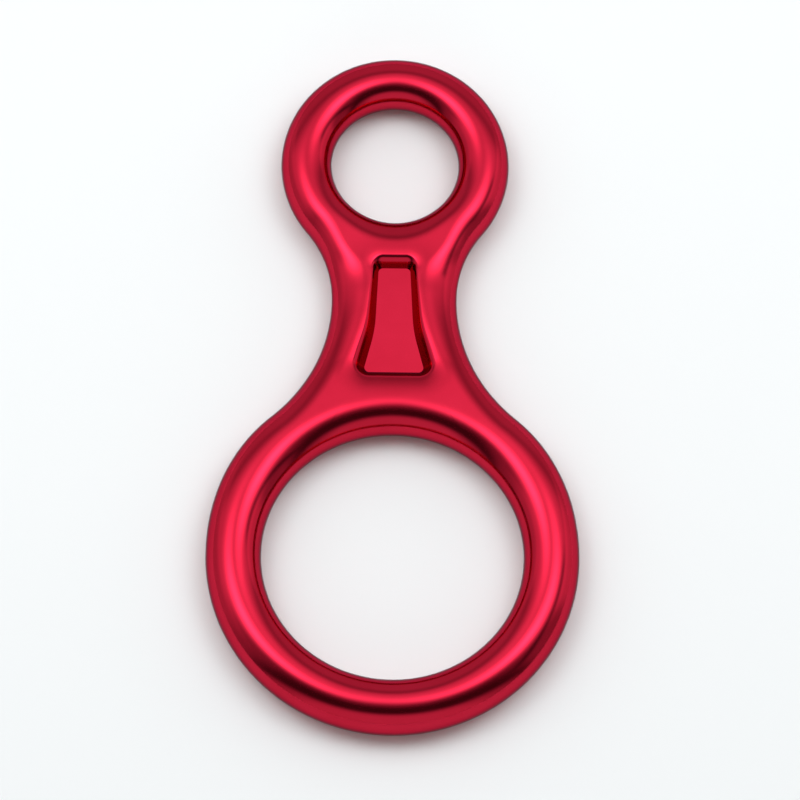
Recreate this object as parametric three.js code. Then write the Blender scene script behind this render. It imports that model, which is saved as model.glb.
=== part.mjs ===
// Figure eight descender: one closed-die aluminium forging, polished and anodised red.
// Millimetres, +Z up. It lies flat on its large ring, with +Y towards the small ring.
// The forging is alike about its parting plane and about its middle plane, so a
// quarter of the skin is laid out and mirrored twice.
import * as THREE from 'three';
import { mergeVertices } from 'three/addons/utils/BufferGeometryUtils.js';

// Rings: round bars of their own thickness, each round its own hole
const largeHole = 52.6;
const largeBar = 11.2;
const smallHole = 26;
const smallBar = 10.3;
const ringSpacing = 85.2;

// Neck: its sides sweep in from both rings and meet at the waist, under the small ring.
// The rounds are how far in from an edge the face turns down.
const waistWidth = 25.4;
const waistDrop = 29.75;
const waistThickness = 9.2;
const waistRound = 8;
const lowerSweepRadius = 33.9;
const lowerFallLength = 44;
const upperFallLength = 12;
const throatThickness = 9;
const largeHoleRound = 6;
const smallHoleRound = 6.9;

// Pocket: a bell-shaped recess in each face of the neck, with a flat floor. The widths
// are those of its floor, and the runs are the breadths of its wall seen from above.
const pocketTopWidth = 6.4;
const pocketFootWidth = 12.5;
const pocketLength = 22.7;
const pocketDepth = 2.45;
const pocketTopRun = 2.2;
const pocketFootRun = 3.2;
const pocketTopGap = 10.6;
const pocketTopCorner = 0.9;
const pocketFootCorner = 1;
const pocketBendRadius = 29;
const pocketTopFlare = 0.05;
const pocketFootFlare = 0.26;
const wallStraightShare = 0.5;

// Colour and finish
const anodisedRed = 0xba1632;
const polish = 0.16;
const metalness = 1;

// Facets: half a bar section, the ring arcs, and the neck from pocket rim to edge
const largeBarFacets = 9;
const smallBarFacets = 8;
const largeQuarterFacets = 16;
const largeShoulderFacets = 8;
const smallQuarterFacets = 12;
const smallShoulderFacets = 6;
const largeHoleFacets = 8;
const smallHoleFacets = 6;
const sideFacets = 18;
const neckRows = 9;
const wallRows = 5;

const largeRadius = (largeHole + largeBar) / 2;
const smallRadius = (smallHole + smallBar) / 2;
const largeHalf = largeBar / 2;
const smallHalf = smallBar / 2;
const largeReach = largeRadius + largeHalf;
const smallReach = smallRadius + smallHalf;
const overallLength = largeReach + ringSpacing + smallReach;
const waistHalf = waistWidth / 2;
const waistCrown = waistThickness / 2;
const throatCrown = throatThickness / 2;

const {
  clamp, lerp, smoothstep, smootherstep,
} = THREE.MathUtils;
const point = (x, y) => new THREE.Vector2(x, y);
const polar = (centre, radius, angle) =>
  point(centre.x + radius * Math.cos(angle), centre.y + radius * Math.sin(angle));
const lift = (place, height) => new THREE.Vector3(place.x, place.y, height);
const steps = (count, make) => Array.from({ length: count + 1 }, (_, i) => make(i / count));

const largeCentre = point(0, largeReach - overallLength / 2);
const smallCentre = point(0, largeCentre.y + ringSpacing);

// The side of the neck, x over zero: two hollow arcs that meet at the waist. The upper one is
// tangent to the small ring. The lower one keeps clear of the large ring, so that ring's bar
// broadens at the shoulder until it meets the arc.
const waistHeight = smallCentre.y - waistDrop;
const upperSweepRadius = (waistHalf ** 2 + waistDrop ** 2 - smallReach ** 2)
  / (2 * (smallReach - waistHalf));
const lowerCentre = point(waistHalf + lowerSweepRadius, waistHeight);
const upperCentre = point(waistHalf + upperSweepRadius, waistHeight);
const lowerTurn = lowerCentre.clone().sub(largeCentre).angle();
const upperTurn = upperCentre.clone().sub(smallCentre).angle() - 2 * Math.PI;
const shoulderBar = lowerCentre.distanceTo(largeCentre) - lowerSweepRadius - largeHole / 2;
const shoulderHalf = shoulderBar / 2;
const shoulderRadius = largeHole / 2 + shoulderHalf;

// Depth of a place inside the side of the neck, and the way from the side to that place
function sideDepth(place) {
  const lower = place.y < waistHeight;
  const away = place.clone().sub(lower ? lowerCentre : upperCentre);
  const depth = away.length() - (lower ? lowerSweepRadius : upperSweepRadius);
  return { depth, inward: away.normalize() };
}

// How far a place has turned round a ring from the bar's end to the middle of the neck
const middleShare = (centre, place, turn) => (
  smootherstep(Math.abs(Math.atan2(place.y - centre.y, place.x)), Math.abs(turn), Math.PI / 2)
);

// Full-round edge: the height share at a depth inside the edge
function roundEdge(depth, round) {
  const share = clamp(depth / round, 0, 1);
  return Math.sqrt(share * (2 - share));
}

// Height of the neck's skin over the parting plane, before the pocket. It is full along the
// bars, falls over the neck to the waist and lies a little lower at the small hole.
function neckHeight(place) {
  const { depth, inward } = sideDepth(place);
  const short = Math.max(shoulderBar - depth, 0);
  const ridge = place.clone().addScaledVector(inward, short ** 2 / (2 * shoulderBar));
  const lowerFall = smootherstep(ridge.distanceTo(largeCentre) - shoulderRadius, 0, lowerFallLength);
  const upperFall = smootherstep(ridge.distanceTo(smallCentre) - smallRadius, 0, upperFallLength);
  const largeShare = middleShare(largeCentre, place, lowerTurn);
  const smallShare = middleShare(smallCentre, place, upperTurn);
  const lowerCrown = lerp(largeHalf, waistCrown, lowerFall);
  const crown = lerp(lerp(smallHalf, throatCrown, smallShare), lowerCrown, upperFall);
  const sideRound = lerp(smallHalf, lerp(shoulderHalf, waistRound, lowerFall), upperFall);
  const fromLarge = place.distanceTo(largeCentre) - largeHole / 2;
  const fromSmall = place.distanceTo(smallCentre) - smallHole / 2;
  return crown * roundEdge(depth, sideRound)
    * roundEdge(fromLarge, lerp(shoulderHalf, largeHoleRound, largeShare))
    * roundEdge(fromSmall, lerp(smallHalf, smallHoleRound, smallShare));
}

// Pocket, x over zero, from its top on the middle line round to its foot. The path is the
// rim, where the lip of the wall meets the skin; the floor lies inside it by the wall's run.
const floorTop = smallCentre.y - smallHole / 2 - pocketTopGap;
const floorFoot = floorTop - pocketLength;
const floorHeight = waistCrown - pocketDepth;

function roundCorner(path, [before, corner, after], radius) {
  const toBefore = before.clone().sub(corner).normalize();
  const toAfter = after.clone().sub(corner).normalize();
  const halfTurn = Math.acos(toBefore.dot(toAfter)) / 2;
  const start = corner.clone().addScaledVector(toBefore, radius / Math.tan(halfTurn));
  const end = corner.clone().addScaledVector(toAfter, radius / Math.tan(halfTurn));
  const middle = toBefore.clone().add(toAfter).setLength(radius / Math.sin(halfTurn)).add(corner);
  const [from, to] = [start, end].map((place) => place.clone().sub(middle).angle());
  path.lineTo(start.x, start.y);
  path.absarc(middle.x, middle.y, radius, from, to, toBefore.cross(toAfter) > 0);
}

function pocketRim() {
  const rimTop = floorTop + pocketTopRun;
  const rimFoot = floorFoot - pocketFootRun;
  const topHalf = pocketTopWidth / 2 + pocketTopRun;
  const footHalf = pocketFootWidth / 2 + pocketFootRun;
  const flare = footHalf - topHalf - pocketTopFlare * (rimTop - rimFoot);
  const footRise = flare / (pocketFootFlare - pocketTopFlare);
  const corners = [
    point(0, rimTop), point(topHalf, rimTop),
    point(footHalf - pocketFootFlare * footRise, rimFoot + footRise),
    point(footHalf, rimFoot), point(0, rimFoot),
  ];
  const rim = new THREE.Path();
  rim.moveTo(0, rimTop);
  roundCorner(rim, corners.slice(0, 3), pocketTopCorner + pocketTopRun);
  roundCorner(rim, corners.slice(1, 4), pocketBendRadius);
  roundCorner(rim, corners.slice(2, 5), pocketFootCorner + pocketFootRun);
  rim.lineTo(0, rimFoot);
  return rim;
}

// Wall of the pocket: a straight draft from the floor, then a lip that rolls into the skin
const lipShare = 1 / (1 - wallStraightShare ** 2);
function wallRise(share) {
  if (share < wallStraightShare) return 2 * lipShare * (1 - wallStraightShare) * share;
  return 1 - lipShare * (1 - share) ** 2;
}

// Outer edge of the neck's skin, from the small hole round the side to the large hole
function barSection(centre, radius, half, turn, facets, crown = half) {
  return steps(facets, (share) => {
    const angle = Math.PI * (1 - share);
    return lift(polar(centre, radius + half * Math.cos(angle), turn), crown * Math.sin(angle));
  });
}

function holeArc(centre, hole, from, to, facets) {
  return steps(facets, (share) => lift(polar(centre, hole / 2, lerp(from, to, share)), 0));
}

function neckSide() {
  const side = new THREE.Path();
  const { x: upperX, y: upperY } = upperCentre;
  const { x: lowerX, y: lowerY } = lowerCentre;
  side.absarc(upperX, upperY, upperSweepRadius, upperTurn + Math.PI, Math.PI, false);
  side.absarc(lowerX, lowerY, lowerSweepRadius, Math.PI, lowerTurn + Math.PI, false);
  return side.getSpacedPoints(sideFacets).map((place) => lift(place, 0));
}

// Section of the large ring's bar at its shoulder, from the round bar to the neck
function shoulderSection(share) {
  const half = lerp(largeHalf, shoulderHalf, smoothstep(share, 0, 1));
  const turn = lerp(0, lowerTurn, share);
  return barSection(largeCentre, largeHole / 2 + half, half, turn, largeBarFacets, largeHalf);
}

const smallSection = barSection(smallCentre, smallRadius, smallHalf, upperTurn, smallBarFacets);
const largeSection = shoulderSection(1);
const neckEdge = [
  ...holeArc(smallCentre, smallHole, -Math.PI / 2, upperTurn, smallHoleFacets).slice(0, -1),
  ...smallSection.slice(0, -1),
  ...neckSide().slice(0, -1),
  ...[...largeSection].reverse().slice(0, -1),
  ...holeArc(largeCentre, largeHole, lowerTurn, Math.PI / 2, largeHoleFacets),
];

// Stations cross the neck's skin from the pocket's floor to that edge. Their places crowd
// together where the skin turns down round an edge.
function neckStations() {
  const rim = pocketRim();
  const last = neckEdge.length - 1;
  return neckEdge.map((edge, i) => {
    const start = rim.getPointAt(i / last);
    const along = rim.getTangentAt(i / last);
    if (i === 0 || i === last) {
      start.x = 0;
      along.set(Math.sign(along.x), 0);
    }
    const out = point(-along.y, along.x);
    const wallShares = [0, ...steps(wallRows - 1, (share) => lerp(wallStraightShare, 1, share))];
    const run = lerp(pocketTopRun, pocketFootRun, smoothstep(i / last, 0, 1));
    const wall = wallShares.map((share) => {
      const place = start.clone().addScaledVector(out, run * (share - 1));
      return lift(place, lerp(floorHeight, neckHeight(place), wallRise(share)));
    });
    const flat = edge.z / largeHalf;
    const skin = steps(neckRows, (share) => {
      const crowded = lerp(Math.sin((share * Math.PI) / 2), share, flat);
      const place = start.clone().lerp(point(edge.x, edge.y), crowded);
      return lift(place, neckHeight(place));
    });
    return [...wall, ...skin.slice(1, -1), edge];
  });
}

// Ring outside the neck: one bar section turned round the hole
function ringStations([centre, radius, half, barFacets], from, to, facets) {
  return steps(facets, (share) => (
    barSection(centre, radius, half, lerp(from, to, share), barFacets)
  ));
}

// Quarter of the skin as triangles. Neighbouring stations are joined by pairs of
// triangles that share the shorter diagonal, and the floor is a fan round its middle.
const quarter = [];
function joinStations(stations) {
  for (let i = 1; i < stations.length; i += 1) {
    for (let j = 1; j < stations[i].length; j += 1) {
      const [a, b] = [stations[i - 1][j - 1], stations[i][j - 1]];
      const [d, c] = [stations[i - 1][j], stations[i][j]];
      if (a.distanceTo(c) < b.distanceTo(d)) quarter.push([a, b, c], [a, c, d]);
      else quarter.push([a, b, d], [b, c, d]);
    }
  }
}

function joinFloor(stations) {
  const middle = lift(point(0, (floorTop + floorFoot) / 2), floorHeight);
  for (let i = 1; i < stations.length; i += 1) {
    quarter.push([middle, stations[i][0], stations[i - 1][0]]);
  }
}

const neck = neckStations();
joinStations(neck);
joinFloor(neck);
const largeRing = [largeCentre, largeRadius, largeHalf, largeBarFacets];
const smallRing = [smallCentre, smallRadius, smallHalf, smallBarFacets];
joinStations(steps(largeShoulderFacets, (share) => shoulderSection(1 - share)));
joinStations(ringStations(largeRing, 0, -Math.PI / 2, largeQuarterFacets));
joinStations(ringStations(smallRing, Math.PI / 2, 0, smallQuarterFacets));
joinStations(ringStations(smallRing, 0, upperTurn, smallShoulderFacets));

// Whole skin: the quarter and its mirror images, sewn along the two middle planes
function sewSkin() {
  const positions = [];
  for (const [sideways, upwards] of [[1, 1], [-1, 1], [-1, -1], [1, -1]]) {
    for (const triangle of quarter) {
      const corners = sideways * upwards > 0 ? triangle : [...triangle].reverse();
      for (const { x, y, z } of corners) positions.push(x * sideways, y, z * upwards);
    }
  }
  const skin = new THREE.BufferGeometry();
  skin.setAttribute('position', new THREE.Float32BufferAttribute(positions, 3));
  const sewn = mergeVertices(skin);
  sewn.computeVertexNormals();
  return sewn;
}

const anodisedAluminium = new THREE.MeshStandardMaterial({
  color: anodisedRed, roughness: polish, metalness,
});
const forgedBody = new THREE.Mesh(sewSkin(), anodisedAluminium);
forgedBody.name = 'forged_body';
forgedBody.position.z = largeHalf;

const descender = new THREE.Group();
descender.add(forgedBody);
export default descender;
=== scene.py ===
import math

import bmesh
import bpy
import numpy as np
from mathutils import Matrix, Vector


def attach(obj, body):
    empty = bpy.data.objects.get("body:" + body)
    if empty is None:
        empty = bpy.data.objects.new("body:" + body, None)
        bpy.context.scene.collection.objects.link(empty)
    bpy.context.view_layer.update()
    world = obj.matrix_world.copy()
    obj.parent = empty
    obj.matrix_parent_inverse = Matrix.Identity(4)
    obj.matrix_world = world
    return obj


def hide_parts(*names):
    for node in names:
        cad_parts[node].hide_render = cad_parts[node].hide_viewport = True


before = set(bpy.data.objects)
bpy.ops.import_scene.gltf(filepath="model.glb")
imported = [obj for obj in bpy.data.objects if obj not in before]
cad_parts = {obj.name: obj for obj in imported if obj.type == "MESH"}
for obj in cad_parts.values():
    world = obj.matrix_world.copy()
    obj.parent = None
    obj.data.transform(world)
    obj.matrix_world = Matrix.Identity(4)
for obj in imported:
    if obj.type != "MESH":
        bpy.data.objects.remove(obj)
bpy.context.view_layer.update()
print("frame loaded:", sorted(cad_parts))

perMetre = 1000  # every size below is in millimetres

# One drop forging: two round bars bent into rings, and the neck that joins them
forging = {
    "largeHole": 52.6,
    "largeBar": 11.2,
    "smallHole": 26.0,
    "smallBar": 10.3,
    "ringSpacing": 85.2,
    "waistWidth": 25.4,
    "waistDrop": 29.75,  # from the small ring's centre
    "waistThickness": 10.0,
    "waistRound": 10.4,  # how far in from the side the face turns down
    "lowerSweepRadius": 33.9,
    "lowerFallLength": 44.0,  # over how far the bars' crowns and rounds turn into the waist's
    "upperFallLength": 13.0,
    "upperRoundLength": 11.0,
    "throatThickness": 9.4,  # between the small hole and the pocket
    "largeHoleRound": 6.0,
    "smallHoleRound": 6.0,
}

# Bell-shaped recess in each face, with a flat floor, a drafted wall and a broad rolled lip
pocket = {
    "floorHeight": 2.15,  # over the parting plane
    "topWidth": 6.4,
    "footWidth": 12.5,
    "length": 22.7,
    "topGap": 10.6,  # from the small hole
    "topCorner": 0.9,
    "footCorner": 1.0,
    "bendRadius": 29.0,
    "topFlare": 0.05,
    "footFlare": 0.26,
    "topWallSlope": 1.6,  # how steeply the wall rises at the top, along the sides, at the foot
    "sideTopSlope": 2.5,
    "sideFootSlope": 1.6,
    "footWallSlope": 1.8,
    "lipRoll": 1.1,
    "wallReach": 3.2,  # the lip ends nearer to the floor than this
    "topSink": 0.65,  # how deep the face dips towards the pocket's top and foot
    "footSink": 1.0,
    "topSinkReach": 3.8,
    "footSinkReach": 6.5,
}

# How finely the skin is laid out, for a quarter of it, and how it is sewn up
skin = {
    "smallHole": 26,
    "smallSection": 34,
    "side": 78,
    "largeSection": 36,
    "largeHole": 34,
    "wallRows": 18,
    "faceRows": 28,
    "largeShoulder": 26,
    "largeQuarter": 54,
    "smallShoulder": 18,
    "smallQuarter": 36,
    "upperArc": 80,
    "lowerArc": 110,
    "corner": 40,
    "outline": 900,
    "weld": 0.002,  # corners nearer than this are one, and edges shorter than this go
    "sliver": 0.0001,
}

largeHalf, smallHalf = forging["largeBar"] / 2, forging["smallBar"] / 2
largeHoleRadius, smallHoleRadius = forging["largeHole"] / 2, forging["smallHole"] / 2
largeRadius, smallRadius = largeHoleRadius + largeHalf, smallHoleRadius + smallHalf
largeReach, smallReach = largeRadius + largeHalf, smallRadius + smallHalf
waistHalf = forging["waistWidth"] / 2
halfLength = (largeReach + forging["ringSpacing"] + smallReach) / 2
largeCentre = np.array([0, largeReach - halfLength])
smallCentre = largeCentre + [0, forging["ringSpacing"]]

# The neck's side is two hollow arcs that meet at the waist. The upper one is tangent to the
# small ring, and the large ring's bar broadens at its shoulder to meet the lower one.
waistHeight = smallCentre[1] - forging["waistDrop"]
upperSweepRadius = ((waistHalf ** 2 + forging["waistDrop"] ** 2 - smallReach ** 2)
                    / (2 * (smallReach - waistHalf)))
lowerCentre = np.array([waistHalf + forging["lowerSweepRadius"], waistHeight])
upperCentre = np.array([waistHalf + upperSweepRadius, waistHeight])
lowerTurn = math.atan2(*(lowerCentre - largeCentre)[::-1])
upperTurn = math.atan2(*(upperCentre - smallCentre)[::-1])
shoulderBar = math.dist(lowerCentre, largeCentre) - forging["lowerSweepRadius"] - largeHoleRadius
shoulderHalf = shoulderBar / 2
floorTop = smallCentre[1] - smallHoleRadius - pocket["topGap"]
floorFoot = floorTop - pocket["length"]


def polar(centre, radius, angle):
    angle = np.asarray(angle, float)
    return centre + radius * np.stack([np.cos(angle), np.sin(angle)], -1)


def mix(first, last, share):
    return first + (last - first) * share


def ease(value, low, high):
    share = np.clip((value - low) / (high - low), 0, 1)
    return share ** 3 * (share * (share * 6 - 15) + 10)


def roundEdge(depth, width):
    share = np.clip(depth / width, 0, 1)
    return np.sqrt(share * (2 - share))


# Height of the face over the parting plane, before the pocket is sunk into it. It depends on
# how deep in from the neck's side a place lies, and on how far the ridge next to it has run
# from each ring's bar.
def faceHeight(x, y):
    lower = y < waistHeight
    centre = np.where(lower, lowerCentre[0], upperCentre[0])
    sweep = np.where(lower, forging["lowerSweepRadius"], upperSweepRadius)
    away = np.hypot(x - centre, y - waistHeight)
    depth = away - sweep
    shift = np.maximum(shoulderBar - depth, 0) ** 2 / (2 * shoulderBar)
    ridgeX, ridgeY = x + (x - centre) / away * shift, y + (y - waistHeight) / away * shift
    fromLargeBar = np.hypot(ridgeX, ridgeY - largeCentre[1]) - largeHoleRadius - shoulderHalf
    fromSmallBar = np.hypot(ridgeX, ridgeY - smallCentre[1]) - smallRadius
    lowerFall = ease(fromLargeBar, 0, forging["lowerFallLength"])
    upperFall = ease(fromSmallBar, 0, forging["upperFallLength"])
    roundShare = ease(fromSmallBar, 0, forging["upperRoundLength"])
    largeShare = ease(np.arctan2(y - largeCentre[1], x), lowerTurn, math.pi / 2)
    smallShare = ease(np.arctan2(smallCentre[1] - y, x), -upperTurn, math.pi / 2)
    lowerCrown = mix(largeHalf, forging["waistThickness"] / 2, lowerFall)
    upperCrown = mix(smallHalf, forging["throatThickness"] / 2, smallShare)
    sideRound = mix(smallHalf, mix(shoulderHalf, forging["waistRound"], lowerFall), roundShare)
    fromLarge = np.hypot(x, y - largeCentre[1]) - largeHoleRadius
    fromSmall = np.hypot(x, y - smallCentre[1]) - smallHoleRadius
    return (mix(upperCrown, lowerCrown, upperFall) * roundEdge(depth, sideRound)
            * roundEdge(fromLarge, mix(shoulderHalf, forging["largeHoleRound"], largeShare))
            * roundEdge(fromSmall, mix(smallHalf, forging["smallHoleRound"], smallShare)))


def fillet(before, corner, after, radius):
    before, corner, after = (np.array(place, float) for place in (before, corner, after))
    back = (before - corner) / np.linalg.norm(before - corner)
    ahead = (after - corner) / np.linalg.norm(after - corner)
    half = math.acos(float(back @ ahead)) / 2
    centre = corner + (back + ahead) / np.linalg.norm(back + ahead) * radius / math.sin(half)
    first = corner + back * radius / math.tan(half) - centre
    last = corner + ahead * radius / math.tan(half) - centre
    start = math.atan2(first[1], first[0])
    turn = (math.atan2(last[1], last[0]) - start + math.pi) % (2 * math.pi) - math.pi
    return polar(centre, radius, start + turn * np.linspace(0, 1, skin["corner"]))


# Half of the floor's outline, from its top on the middle line round to its foot
def pocketOutline():
    topHalf, footHalf = pocket["topWidth"] / 2, pocket["footWidth"] / 2
    flare = footHalf - topHalf - pocket["topFlare"] * pocket["length"]
    rise = flare / (pocket["footFlare"] - pocket["topFlare"])
    top, foot = (topHalf, floorTop), (footHalf, floorFoot)
    bend = (footHalf - pocket["footFlare"] * rise, floorFoot + rise)
    return np.concatenate([
        [(0, floorTop)],
        fillet((0, floorTop), top, bend, pocket["topCorner"]),
        fillet(top, bend, foot, pocket["bendRadius"]),
        fillet(bend, foot, (0, floorFoot), pocket["footCorner"]),
        [(0, floorFoot)],
    ])


def evenly(count, line, *tables):  # places at equal steps along a line, and what goes with them
    lengths = np.linalg.norm(np.diff(line, axis=0), axis=1)
    run = np.concatenate([[0], np.cumsum(lengths)])
    steps = np.linspace(0, run[-1], count)
    return [np.stack([np.interp(steps, run, column) for column in table.T], -1)
            for table in (line, *tables)]


outline = pocketOutline()
fineOutline, = evenly(skin["outline"], outline)


def fromFloor(x, y):
    return np.min(np.hypot(x[:, None] - fineOutline[:, 0], y[:, None] - fineOutline[:, 1]), 1)


# Height of the face with the pocket in it, for places this far away from the pocket's floor
def neckHeight(x, y, away):
    toFoot = ease(floorTop - y, 0, pocket["length"])
    sink = mix(pocket["topSink"], pocket["footSink"], toFoot)
    reach = mix(pocket["topSinkReach"], pocket["footSinkReach"], toFoot)
    face = faceHeight(x, y) - sink * (1 - np.clip(away / reach, 0, 1)) ** 2
    atTop = (y - floorTop + pocket["topCorner"]) / (away + pocket["topCorner"])
    atFoot = (floorFoot + pocket["footCorner"] - y) / (away + pocket["footCorner"])
    slope = mix(pocket["sideTopSlope"], pocket["sideFootSlope"], toFoot)
    slope = mix(slope, pocket["topWallSlope"], np.clip(atTop, 0, 1))
    slope = mix(slope, pocket["footWallSlope"], np.clip(atFoot, 0, 1))
    wall = pocket["floorHeight"] + away * slope
    near = np.maximum(pocket["lipRoll"] - np.abs(face - wall), 0)
    rolled = np.minimum(face, wall) - near ** 2 / (4 * pocket["lipRoll"])
    return np.where(away > pocket["wallReach"], face, np.maximum(rolled, pocket["floorHeight"]))


def barSection(inner, half, crown, turn, count, centre):
    angles = math.pi * (1 - np.linspace(0, 1, count))
    away = polar((0, 0), 1, turn)
    plan = centre + away * (inner + half * (1 + np.cos(angles)))[:, None]
    return np.column_stack([plan, crown * np.sin(angles)])


def largeSection(share):  # from the plain round bar to its broader shoulder at the neck
    half = mix(largeHalf, shoulderHalf, share * share * (3 - 2 * share))
    return barSection(largeHoleRadius, half, largeHalf, lowerTurn * share,
                      skin["largeSection"], largeCentre)


def largeBar(turn):
    return barSection(largeHoleRadius, largeHalf, largeHalf, turn,
                      skin["largeSection"], largeCentre)


def smallBar(turn):
    return barSection(smallHoleRadius, smallHalf, smallHalf, turn,
                      skin["smallSection"], smallCentre)


def atParting(plan):
    return np.column_stack([plan, np.zeros(len(plan))])


# Outer edge of the neck's skin, from the small hole round the side to the large hole
def neckEdge():
    upper = polar(upperCentre, upperSweepRadius,
                  np.linspace(upperTurn + math.pi, math.pi, skin["upperArc"]))
    lower = polar(lowerCentre, forging["lowerSweepRadius"],
                  np.linspace(math.pi, lowerTurn + math.pi, skin["lowerArc"]))
    side, = evenly(skin["side"], np.concatenate([upper, lower[1:]]))
    smallArc = polar(smallCentre, smallHoleRadius,
                     np.linspace(-math.pi / 2, upperTurn, skin["smallHole"]))
    largeArc = polar(largeCentre, largeHoleRadius,
                     np.linspace(lowerTurn, math.pi / 2, skin["largeHole"]))
    return np.concatenate([
        atParting(smallArc)[:-1], smallBar(upperTurn)[:-1], atParting(side)[:-1],
        largeSection(1)[::-1][:-1], atParting(largeArc),
    ])


# Rows of a quarter of the neck: up the pocket's wall and lip, then over the face to the edge
def neckRows():
    edge = neckEdge()
    along = np.gradient(outline, axis=0)
    along /= np.linalg.norm(along, axis=1)[:, None]
    out = np.column_stack([-along[:, 1], along[:, 0]])
    out[0], out[-1] = (0, 1), (0, -1)
    rim, floor = evenly(len(edge), outline + out * pocket["wallReach"], outline)
    rim[[0, -1], 0] = floor[[0, -1], 0] = 0
    rows = []
    for share in np.linspace(0, 1, skin["wallRows"]):
        place = mix(floor, rim, share)
        rows.append(np.column_stack([place, neckHeight(*place.T, share * pocket["wallReach"])]))
    flat = (edge[:, 2] / largeHalf)[:, None]
    for share in np.linspace(0, 1, skin["faceRows"])[1:-1]:
        crowded = mix(math.sin(share * math.pi / 2), share, flat)
        place = mix(rim, edge[:, :2], crowded)
        rows.append(np.column_stack([place, neckHeight(*place.T, fromFloor(*place.T))]))
    return np.stack([*rows, edge], 1)


def turned(section, start, end, count):
    return np.stack([section(value) for value in np.linspace(start, end, count)])


def addObject(name, data):
    thing = bpy.data.objects.new(name, data)
    bpy.context.scene.collection.objects.link(thing)
    return thing


def addGrid(bm, grid, flip, turnedOver):
    lift = np.array([0, 0, largeHalf])
    verts = [[bm.verts.new((place * flip + lift) / perMetre) for place in row] for row in grid]
    for i in range(len(verts) - 1):
        for j in range(len(verts[0]) - 1):
            corners = [verts[i][j], verts[i + 1][j], verts[i + 1][j + 1], verts[i][j + 1]]
            bm.faces.new(corners[::-1] if turnedOver else corners).smooth = True
    return verts


def buildForging():
    neck = neckRows()
    rings = [
        turned(largeSection, 1, 0, skin["largeShoulder"]),
        turned(largeBar, 0, -math.pi / 2, skin["largeQuarter"]),
        turned(smallBar, math.pi / 2, 0, skin["smallQuarter"]),
        turned(smallBar, 0, upperTurn, skin["smallShoulder"]),
    ]
    middle = np.array([0, (floorTop + floorFoot) / 2, pocket["floorHeight"]])
    bm = bmesh.new()
    for sideways, upwards in ((1, 1), (-1, 1), (-1, -1), (1, -1)):
        flip = np.array([sideways, 1, upwards])
        turnedOver = sideways * upwards < 0
        for grid in rings:
            addGrid(bm, grid, flip, turnedOver)
        verts = addGrid(bm, neck, flip, turnedOver)
        centre = bm.verts.new((middle * flip + [0, 0, largeHalf]) / perMetre)
        for before, after in zip(verts, verts[1:]):
            corners = [centre, after[0], before[0]]
            bm.faces.new(corners[::-1] if turnedOver else corners)
    bmesh.ops.remove_doubles(bm, verts=bm.verts, dist=skin["weld"] / perMetre)
    bmesh.ops.dissolve_degenerate(bm, edges=bm.edges, dist=skin["sliver"] / perMetre)
    for edge in bm.edges:  # the floor meets its wall in a crisp root
        edge.smooth = len({face.smooth for face in edge.link_faces}) < 2
    loose = sum(len(edge.link_faces) != 2 for edge in bm.edges)
    print("forging:", len(bm.faces), "faces,", loose, "open edges")
    data = bpy.data.meshes.new("forgedDescender")
    bm.to_mesh(data)
    bm.free()
    return addObject("forgedDescender", data)


def toLinear(hexColour):
    channels = [int(hexColour[i:i + 2], 16) / 255 for i in (1, 3, 5)]
    linear = [c / 12.92 if c <= 0.04045 else ((c + 0.055) / 1.055) ** 2.4 for c in channels]
    return [*linear, 1.0]


def addNode(tree, kind, settings=None, inputs=None):
    node = tree.nodes.new(kind)
    for key, value in (settings or {}).items():
        setattr(node, key, value)
    for key, value in (inputs or {}).items():
        if isinstance(value, bpy.types.NodeSocket):
            tree.links.new(value, node.inputs[key])
        else:
            node.inputs[key].default_value = value
    return node


def newMaterial(name):
    material = bpy.data.materials.new(name)
    material.use_nodes = True
    material.node_tree.nodes.clear()
    return material, material.node_tree


# Anodised aluminium: a forging tumbled in media, polished, and dyed red through its clear
# oxide skin. It mirrors the studio as metal does, and the eye sees a deep bright red, hardly
# softened, with the slight waviness that tumbling leaves and a faint haze of polishing lines.
anodisedAluminium = {
    "dye": "#c02039",
    "dyeDeep": "#b91d34",
    "rim": "#95bcbf",  # a glancing view passes more dye, so rims deepen and don't whiten
    "dyePatch": 14.0,  # dye takes a little unevenly, over patches of this size
    "dyeSpan": (0.3, 0.7),
    "roughness": 0.13,
    "roughnessSpread": 0.03,
    "hazePatch": 5.0,
    "hazeBreakUp": 0.65,
    "hazeSpan": (0.25, 0.75),
    "wave": 3.2,  # tumbling waves
    "waveDepth": 0.0022,
    "grain": 0.45,  # polishing grain, drawn coarser than its real 0.05 mm so that it shows
    "grainDepth": 0.00012,
}


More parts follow.
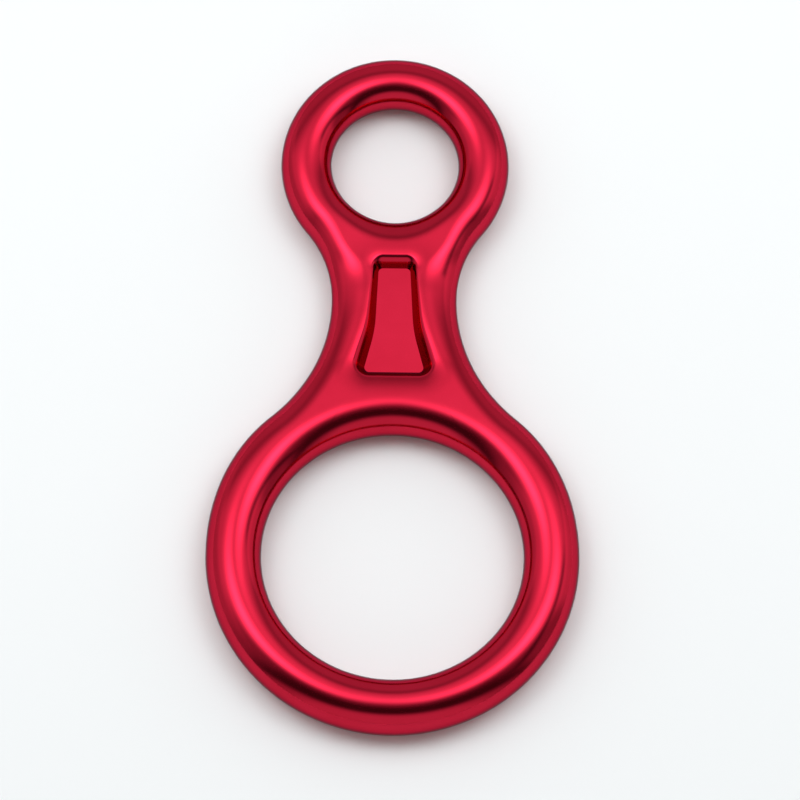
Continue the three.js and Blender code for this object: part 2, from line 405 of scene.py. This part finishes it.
def anodisedFinish(look):
    material, tree = newMaterial("anodisedAluminium")
    place = addNode(tree, "ShaderNodeTexCoord").outputs["Object"]

    def noise(size, detail, breakUp=0.5):
        return addNode(tree, "ShaderNodeTexNoise", inputs={
            "Vector": place, "Scale": perMetre / size, "Detail": detail, "Roughness": breakUp,
        }).outputs["Fac"]

    def bump(height, depth, **below):
        return addNode(tree, "ShaderNodeBump", inputs={
            "Height": height, "Distance": depth / perMetre, "Strength": 1.0, **below,
        }).outputs["Normal"]

    dye = addNode(tree, "ShaderNodeValToRGB", inputs={"Fac": noise(look["dyePatch"], 3)})
    shades = (look["dyeDeep"], look["dye"])
    for stop, position, shade in zip(dye.color_ramp.elements, look["dyeSpan"], shades):
        stop.position, stop.color = position, toLinear(shade)
    haze = addNode(tree, "ShaderNodeMapRange", inputs={
        "Value": noise(look["hazePatch"], 6, look["hazeBreakUp"]),
        "From Min": look["hazeSpan"][0], "From Max": look["hazeSpan"][1],
        "To Min": look["roughness"] - look["roughnessSpread"],
        "To Max": look["roughness"] + look["roughnessSpread"],
    })
    waves = bump(noise(look["wave"], 1), look["waveDepth"])
    grain = bump(noise(look["grain"], 2), look["grainDepth"], Normal=waves)
    shader = addNode(tree, "ShaderNodeBsdfPrincipled", inputs={
        "Base Color": dye.outputs["Color"], "Metallic": 1.0,
        "Specular Tint": toLinear(look["rim"]),
        "Roughness": haze.outputs["Result"], "Normal": grain,
    })
    addNode(tree, "ShaderNodeOutputMaterial", inputs={"Surface": shader.outputs["BSDF"]})
    return material


body = buildForging()
body.data.materials.append(anodisedFinish(anodisedAluminium))
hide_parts("forged_body")
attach(body, "root")
print("forging dressed")

# Light tent: a dome of cloth round the table. One broad panel lights it from above and behind,
# with a brighter lamp at each side of that, and its mouth is a dark slot towards the camera.
# Angles are in degrees from straight overhead, across the table and away from the camera. Two
# angles together are where a fade begins and ends.
tent = {
    "radius": 810.0,
    "turns": 240,
    "rises": 110,
    "cloth": 0.401,
    "panel": 0.648,
    "panelFront": (-20.0, 10.0),
    "panelSide": (40.0, 80.0),
    "panelBack": 35.0,  # its back edge bows away a little at the sides
    "panelBackBow": 2.2,
    "panelBackReach": 30.0,
    "panelBackSoft": 11.0,
    "lamp": 3.95,
    "lampTint": (1.0, 1.08, 1.1),  # a little cooler than the cloth
    "lampAside": 20.2,
    "lampWidth": 17.2,
    "lampBack": -20.6,  # from the panel's back edge
    "lampBackSoft": 22.0,
    "leftCloth": 0.256,
    "leftSide": (48.0, 62.0),
    "leftFront": (-30.0, -5.0),
    "leftBack": (40.0, 70.0),
    "rightCloth": 0.472,
    "rightSide": (52.0, 62.0),
    "rightFront": (-12.0, 6.0),
    "rightBack": (30.0, 60.0),
    "seam": 0.74,  # a dark seam of the cloth, at the right
    "seamAside": 50.0,
    "seamWidth": 7.0,
    "seamFront": (-40.0, -20.0),
    "seamBack": (10.0, 25.0),
    "slot": 0.83,
    "slotMiddle": -37.5,  # it bends down towards the camera at its ends
    "slotDrop": 20.4,
    "slotBend": (30.0, 75.0),
    "slotHalf": 19.2,
    "slotSide": (88.0, 112.0),
    "frontCloth": 0.445,
    "frontFade": (40.0, 60.0),
    "backCloth": 0.251,
    "backFade": (38.0, 60.0),
}


def between(value, rise, fall):
    return ease(value, *rise) * (1 - ease(value, *fall))


def tentGlow(across, along):
    aside = np.abs(across)
    bow = np.clip(aside / tent["panelBackReach"], 0, 1)
    back = tent["panelBack"] + tent["panelBackBow"] * bow
    front = ease(along, *tent["panelFront"])
    beside = 1 - ease(aside, *tent["panelSide"])
    soft = tent["panelBackSoft"]
    panel = tent["panel"] * beside * front * (1 - ease(along, back - soft, back + soft))
    middle, soft = back + tent["lampBack"], tent["lampBackSoft"]
    lamp = np.exp(-((aside - tent["lampAside"]) / tent["lampWidth"]) ** 2)
    lamp = tent["lamp"] * lamp * front * (1 - ease(along, middle - soft, middle + soft))
    left = (tent["leftCloth"] * ease(-across, *tent["leftSide"])
            * between(along, tent["leftFront"], tent["leftBack"]))
    right = (tent["rightCloth"] * ease(across, *tent["rightSide"])
             * between(along, tent["rightFront"], tent["rightBack"]))
    seam = (tent["seam"] * np.exp(-((across - tent["seamAside"]) / tent["seamWidth"]) ** 2)
            * between(along, tent["seamFront"], tent["seamBack"]))
    first, last = tent["slotBend"]
    drop = tent["slotDrop"] * np.clip((aside - first) / (last - first), 0, 1)
    slot = (np.exp(-((along - tent["slotMiddle"] + drop) / tent["slotHalf"]) ** 4)
            * (1 - ease(aside, *tent["slotSide"])))
    past = 1 - tent["slot"] * slot
    cloth = ((tent["cloth"] + panel + left + right) * (1 - seam) * past
             + tent["frontCloth"] * ease(-along, *tent["frontFade"])
             + tent["backCloth"] * ease(along, *tent["backFade"]))
    return cloth[:, None] + (lamp * past)[:, None] * tent["lampTint"]


def buildTent():
    turns, rises = tent["turns"], tent["rises"]
    angle = np.linspace(0, 2 * math.pi, turns, endpoint=False)
    lean = np.linspace(0, math.pi / 2, rises + 1)[1:, None]
    ring = np.stack([np.sin(lean) * np.cos(angle), np.sin(lean) * np.sin(angle),
                     np.cos(lean) + 0 * angle], -1)
    ways = np.concatenate([[(0, 0, 1)], ring.reshape(-1, 3)])
    faces = [(0, 1 + (k + 1) % turns, 1 + k) for k in range(turns)]
    for row in range(rises - 1):
        for k in range(turns):
            first, second = 1 + row * turns + k, 1 + row * turns + (k + 1) % turns
            faces.append((first, second, second + turns, first + turns))
    data = bpy.data.meshes.new("lightTent")
    data.from_pydata([tuple(place) for place in ways * tent["radius"] / perMetre], [], faces)
    degrees = np.degrees(np.arccos(np.clip(ways[:, 2], -1, 1)))
    flat = np.maximum(np.hypot(ways[:, 0], ways[:, 1]), 1e-9)
    glow = tentGlow(ways[:, 0] / flat * degrees, ways[:, 1] / flat * degrees)
    shades = np.column_stack([glow, np.ones(len(glow))]).astype(np.float32)
    attribute = data.attributes.new("glow", "FLOAT_COLOR", "POINT")
    attribute.data.foreach_set("color", shades.ravel())
    material, tree = newMaterial("litTentCloth")
    level = addNode(tree, "ShaderNodeAttribute", {"attribute_name": "glow"})
    lit = addNode(tree, "ShaderNodeEmission", inputs={"Color": level.outputs["Color"]})
    addNode(tree, "ShaderNodeOutputMaterial", inputs={"Surface": lit.outputs["Emission"]})
    material.cycles.emission_sampling = "NONE"  # it is all around, so bounced rays find it
    data.materials.append(material)
    dome = addObject("lightTent", data)
    dome.visible_camera = False
    print("tent lit, level", round(float(glow.min()), 2), "to", round(float(glow.max()), 2))


# White table top: matt card, which the tent lights almost to the white of the backdrop
tableTop = {
    "radius": 800.0,
    "sides": 96,
    "card": "#f8f8f8",
}


def buildTable():
    data = bpy.data.meshes.new("tableTop")
    bm = bmesh.new()
    bmesh.ops.create_circle(bm, cap_ends=True, segments=tableTop["sides"],
                            radius=tableTop["radius"] / perMetre)
    bm.to_mesh(data)
    bm.free()
    material, tree = newMaterial("mattWhiteCard")
    card = addNode(tree, "ShaderNodeBsdfDiffuse", inputs={"Color": toLinear(tableTop["card"])})
    addNode(tree, "ShaderNodeOutputMaterial", inputs={"Surface": card.outputs["BSDF"]})
    data.materials.append(material)
    addObject("tableTop", data)
    print("table laid")


buildTent()
buildTable()
world = bpy.data.worlds.new("whiteBackdrop")  # seen by the camera past the table's edge only
bpy.context.scene.world = world
world.use_nodes = True
backdrop = world.node_tree.nodes["Background"]
backdrop.inputs["Color"].default_value = toLinear("#ffffff")
backdrop.inputs["Strength"].default_value = 1.0

# A long lens nearly over the table, from the large ring's side
camera = {
    "place": (-15.29, -495.45, 1269.58),
    "aim": (1.32, -1.76, 5.6),
    "roll": 0.365,  # degrees
    "lens": 302.04,
    "sensor": 36.0,
    "nearest": 50.0,
    "farthest": 20000.0,
}


def placeCamera():
    data = bpy.data.cameras.new("photoCamera")
    data.lens = camera["lens"]
    data.sensor_width = camera["sensor"]
    data.clip_start, data.clip_end = camera["nearest"] / perMetre, camera["farthest"] / perMetre
    place, aim = Vector(camera["place"]), Vector(camera["aim"])
    back = (place - aim).normalized()
    right = Vector((0, 1, 0)).cross(back).normalized()
    right.rotate(Matrix.Rotation(math.radians(camera["roll"]), 4, back))
    up = back.cross(right)
    spot = addObject("photoCamera", data)
    turn = Matrix((right, up, back)).transposed().to_4x4()
    spot.matrix_world = Matrix.Translation(place / perMetre) @ turn
    bpy.context.scene.camera = spot


placeCamera()
bpy.context.scene.view_settings.view_transform = "Standard"
print("camera placed")
